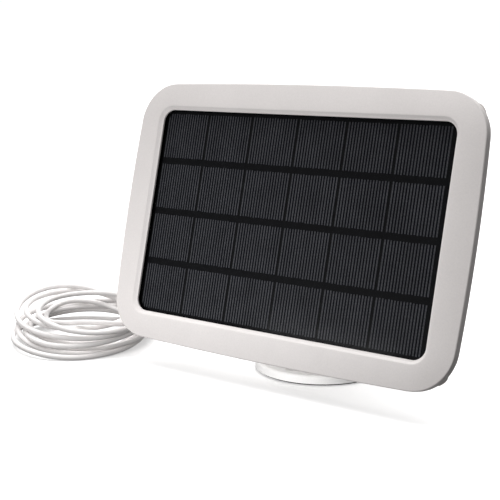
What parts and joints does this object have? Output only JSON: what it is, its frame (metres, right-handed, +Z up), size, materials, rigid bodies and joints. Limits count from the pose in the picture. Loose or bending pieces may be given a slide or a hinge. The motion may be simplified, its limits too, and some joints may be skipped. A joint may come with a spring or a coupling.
{
  "type": "solar charging panel on a tilting stand",
  "caption": "Flat solar charging panel in a rounded white frame, on a tilting and panning round foot, with a coiled white lead and plug.",
  "frame": {"origin": "centre of the underside of the round foot, on the pan axis", "axes": "+Z up along the pan axis, panel faces -Y, +X along the panel's long side"},
  "size_m": [0.2934, 0.1297, 0.146],
  "materials": {
    "white_plastic": "fine textured moulding",
    "dark_foam": "matt",
    "steel": "satin",
    "nylon": "satin",
    "brass": "machined",
    "black_foam": "matt",
    "cover_glass": "polished",
    "silicon": "dark with fine finger lines",
    "tinned_ribbon": "satin",
    "dark_film": "matt",
    "seal_rubber": "matt",
    "circuit_board": "solder mask",
    "component_black": "moulded",
    "lead_black": "insulation",
    "white_rubber": "satin",
    "white_cable": "satin jacket",
    "plated_shell": "plated"
  },
  "bodies": {
    "base": {"base_plate": "white_plastic", "base_pad": "dark_foam"},
    "post": {"swivel_post": "white_plastic", "stop_pin": "steel", "pivot_washer": "steel", "pivot_screw": "steel", "friction_washers": "nylon", "knob_washer": "steel", "cable_lead": "white_cable", "cable_coil": "white_cable", "cable_tail": "white_cable", "plug_relief": "white_rubber", "plug_grip": "white_rubber", "plug_boot": "white_rubber", "plug_shell": "plated_shell", "plug_tongue": "component_black"},
    "panel": {"front_bezel": "white_plastic", "panel_gasket": "black_foam", "cover_glass": "cover_glass", "solar_cells": "silicon", "cell_ribbons": "tinned_ribbon", "encapsulant": "dark_film", "backing_sheet": "dark_film", "rear_cover": "white_plastic", "perimeter_seal": "seal_rubber", "cover_screws": "steel", "regulator_board": "circuit_board", "board_components": "component_black", "board_screws": "steel", "panel_leads": "lead_black", "lead_inner_end": "white_rubber", "cable_gland": "white_rubber", "tilt_bracket": "white_plastic", "bracket_screws": "steel"},
    "knob": {"tilt_knob": "white_plastic", "knob_insert": "brass"},
    "bolt": {"tilt_bolt": "steel"}
  },
  "joints": [
    {"name": "pan", "type": "hinge", "parent": "base", "child": "post", "pos_m": [0, 0, 0], "axis": [0, 0, 1], "range_deg": [-165, 165]},
    {"name": "tilt", "type": "hinge", "parent": "post", "child": "panel", "pos_m": [0, 0, 0.071], "axis": [-1, 0, 0], "range_deg": [-3, 75], "deforming": ["cable_lead"]},
    {"name": "knob_turn", "type": "hinge", "parent": "post", "child": "knob", "pos_m": [0, 0, 0.071], "axis": [1, 0, 0], "range_deg": [0, 540.5]},
    {"name": "bolt_draw", "type": "slide", "parent": "post", "child": "bolt", "axis": [-1, 0, 0], "range_m": [0, 0.0012]}
  ],
  "couplings": [
    {"joint": "knob_turn", "follows": "bolt_draw", "rad_per_m": 7854}
  ]
}
